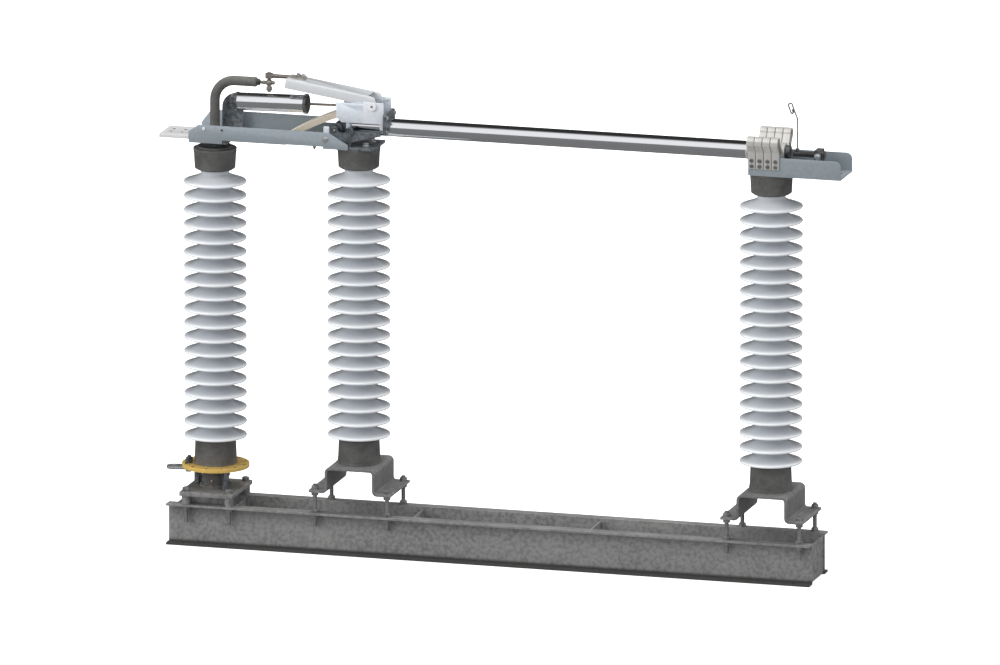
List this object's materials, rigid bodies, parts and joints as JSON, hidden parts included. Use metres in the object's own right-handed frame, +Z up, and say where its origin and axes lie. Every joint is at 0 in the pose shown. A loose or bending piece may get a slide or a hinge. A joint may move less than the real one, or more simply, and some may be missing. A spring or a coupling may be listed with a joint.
{
  "type": "substation disconnect switch",
  "caption": "Single-pole vertical-break disconnect switch: swinging tube blade, spring-balanced hinge, finger jaw and porcelain post insulators on a steel channel base.",
  "frame": {"origin": "centre of the four mounting holes, on the underside of the base channels", "axes": "+Z up, +X along the base from the hinge end to the jaw end, +Y to the rear"},
  "size_m": [2.997, 0.3, 2.0569],
  "materials": {
    "galvanised": "hot-dip galvanised steel, mottled dark grey",
    "casting": "galvanised castings of the insulator caps and the hinge",
    "porcelain": "pale grey glaze",
    "chromate": "yellow chromate plating",
    "bright_steel": "plated steel",
    "frame_aluminium": "satin blue-grey aluminium",
    "bare_aluminium": "bright bare aluminium",
    "polished_tube": "polished drawn tube",
    "laminated_strap": "laminated flexible conductor with a cream face",
    "silvered": "silver-plated copper contacts",
    "dark_steel": "blackened steel"
  },
  "bodies": {
    "base": {"front_channel": "galvanised", "rear_channel": "galvanised", "base_cross_plates": "galvanised", "bearing_plate": "galvanised", "bearing_bolts": "bright_steel", "bearing_housing": "casting", "turn_stops": "dark_steel", "hinge_pedestal": "galvanised", "hinge_pedestal_bolts": "bright_steel", "jaw_pedestal": "galvanised", "jaw_pedestal_bolts": "bright_steel", "hinge_base_cap": "casting", "hinge_porcelain": "porcelain", "hinge_top_cap": "casting", "jaw_base_cap": "casting", "jaw_porcelain": "porcelain", "jaw_top_cap": "casting", "hinge_frame": "frame_aluminium", "top_bearing": "casting", "frame_foot_plate": "casting", "terminal_bar": "bare_aluminium", "conductor_strap": "laminated_strap", "spring_bracket": "dark_steel", "hinge_casting": "casting", "hinge_pin": "dark_steel", "jaw_channel": "frame_aluminium", "contact_fingers": "silvered", "blade_stop": "dark_steel", "arcing_horn": "bright_steel"},
    "rotor": {"turning_disc": "chromate", "operating_lever": "bright_steel", "rotor_base_cap": "casting", "rotor_porcelain": "porcelain", "rotor_top_cap": "casting", "crank_pipe": "galvanised", "crank_pin": "bright_steel"},
    "yoke": {"hinge_yoke": "casting"},
    "blade": {"mechanism_box": "bare_aluminium", "blade_tube": "polished_tube", "blade_clamp": "dark_steel", "blade_contact": "silvered"},
    "link": {"link_channel": "bare_aluminium", "link_rod": "bright_steel"},
    "spring_barrel": {"spring_tube": "polished_tube"},
    "spring_piston": {"spring_rod": "bright_steel"}
  },
  "joints": [
    {"name": "blade_swing", "type": "hinge", "parent": "base", "child": "yoke", "pos_m": [-0.6875, 0, 1.833], "axis": [0, -1, 0], "range_deg": [0, 90], "deforming": ["conductor_strap"]},
    {"name": "rotor_turn", "type": "hinge", "parent": "base", "child": "rotor", "pos_m": [-1.2395, 0, 0.3], "axis": [0, 0, 1], "range_deg": [0, 86.02]},
    {"name": "blade_twist", "type": "hinge", "parent": "yoke", "child": "blade", "pos_m": [-0.6875, 0, 1.842], "axis": [-1, 0, 0], "range_deg": [0, 24.47]},
    {"name": "link_pitch", "type": "hinge", "parent": "blade", "child": "link", "pos_m": [-0.5275, 0, 1.941], "axis": [0, 1, 0], "range_deg": [0, 83.75]},
    {"name": "spring_swivel", "type": "hinge", "parent": "base", "child": "spring_barrel", "pos_m": [-1.1595, 0, 1.914], "axis": [-0.0214, 0.0369, 0.9991], "range_deg": [0, 5.15]},
    {"name": "spring_slide", "type": "slide", "parent": "spring_barrel", "child": "spring_piston", "axis": [0.9998, 0, 0.0214], "range_m": [-0.1725, 0]}
  ],
  "couplings": [
    {"joint": "rotor_turn", "follows": "blade_swing", "ratio": 0.95572},
    {"joint": "blade_twist", "follows": "blade_swing", "ratio": 0.27178},
    {"joint": "link_pitch", "follows": "blade_swing", "ratio": 0.93046},
    {"joint": "spring_swivel", "follows": "blade_swing", "ratio": 0.05716},
    {"joint": "spring_slide", "follows": "blade_swing", "m_per_rad": -0.10948}
  ]
}
